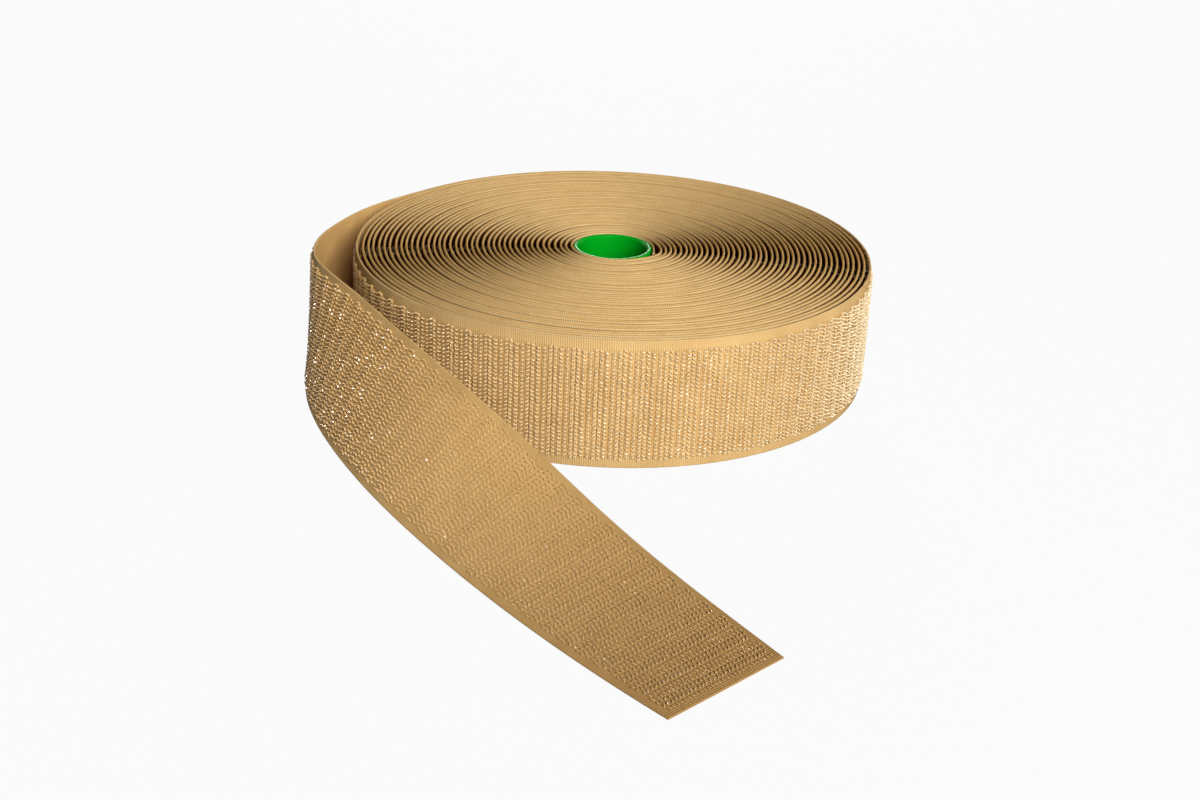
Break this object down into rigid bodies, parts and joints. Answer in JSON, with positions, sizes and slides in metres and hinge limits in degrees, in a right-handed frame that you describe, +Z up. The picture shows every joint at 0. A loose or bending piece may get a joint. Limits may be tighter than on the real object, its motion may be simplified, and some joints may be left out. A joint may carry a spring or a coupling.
{
  "type": "hook and loop tape roll",
  "caption": "Roll of woven hook fastener tape wound on a round plastic core, with its last lap loose and its free end twisted over to lie flat, hooks up.",
  "frame": {"origin": "on the core's axis, on the surface that the roll stands on", "axes": "+Z up along the core's axis, -Y towards the free end of the tape, +X to the right seen from the free end"},
  "size_m": [0.2261, 0.3691, 0.05],
  "materials": {
    "core": "glossy moulded green plastic",
    "tape": "plain woven tan tape, fine cross ribs",
    "hooks": "tan monofilament hooks in crosswise rows"
  },
  "bodies": {
    "roll": {"core_tube": "core", "wound_tape": "tape", "roll_hooks": "hooks"},
    "lap": {"lap_tape": "tape", "lap_hooks": "hooks"},
    "tail_near": {"tail_near_tape": "tape", "tail_near_hooks": "hooks"},
    "tail_mid": {"tail_mid_tape": "tape", "tail_mid_hooks": "hooks"},
    "tail_end": {"tail_end_tape": "tape", "tail_end_hooks": "hooks"}
  },
  "joints": [
    {"name": "lap_peel", "type": "hinge", "parent": "roll", "child": "lap", "pos_m": [-0.07804, 0.06973, 0], "axis": [0, 0, -1], "range_deg": [-1.5, 35], "stiffness_Nm_per_rad": 0.01},
    {"name": "tail_swing", "type": "hinge", "parent": "lap", "child": "tail_near", "pos_m": [-0.11826, -0.00873, 0], "axis": [0, 0, -1], "range_deg": [-2, 30], "stiffness_Nm_per_rad": 0.01},
    {"name": "tail_curl", "type": "hinge", "parent": "tail_near", "child": "tail_mid", "pos_m": [-0.09598, -0.10467, 0.00021], "axis": [-0.5333, -0.2686, -0.8021], "range_deg": [0, 30], "stiffness_Nm_per_rad": 0.01},
    {"name": "tail_lift", "type": "hinge", "parent": "tail_mid", "child": "tail_end", "pos_m": [-0.0426, -0.18913, 0.00033], "axis": [-0.7574, -0.562, -0.3325], "range_deg": [0, 45], "stiffness_Nm_per_rad": 0.01}
  ]
}
